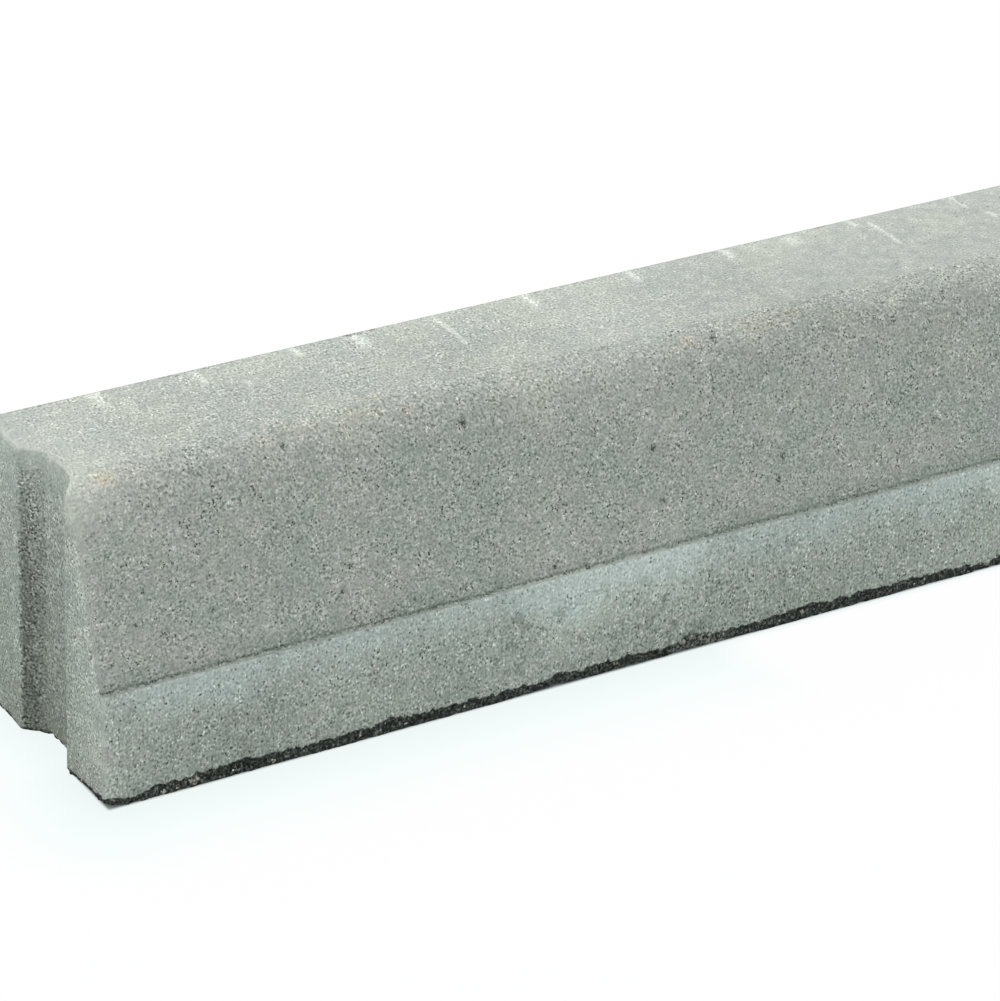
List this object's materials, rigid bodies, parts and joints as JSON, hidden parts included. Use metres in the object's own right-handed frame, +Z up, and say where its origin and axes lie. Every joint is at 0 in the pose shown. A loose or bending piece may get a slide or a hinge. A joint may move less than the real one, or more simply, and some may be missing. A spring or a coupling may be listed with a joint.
{
  "type": "concrete kerb stone",
  "caption": "Straight precast concrete kerb stone with a plinth, a battered front, a round nose and a groove-and-tongue joint at its ends.",
  "frame": {"origin": "middle of the bed face, halfway between the flat lands of the two ends", "axes": "+X along the stone from the grooved end to the tongued end, -Y the battered front that faces the road, +Y the upright back, +Z up"},
  "size_m": [1.013, 0.2, 0.25],
  "materials": {
    "concrete": "matt grey pressed concrete, sandy grain, fine pits, darker and rougher at the bed"
  },
  "bodies": {
    "root": {"kerb_stone": "concrete"}
  },
  "joints": []
}
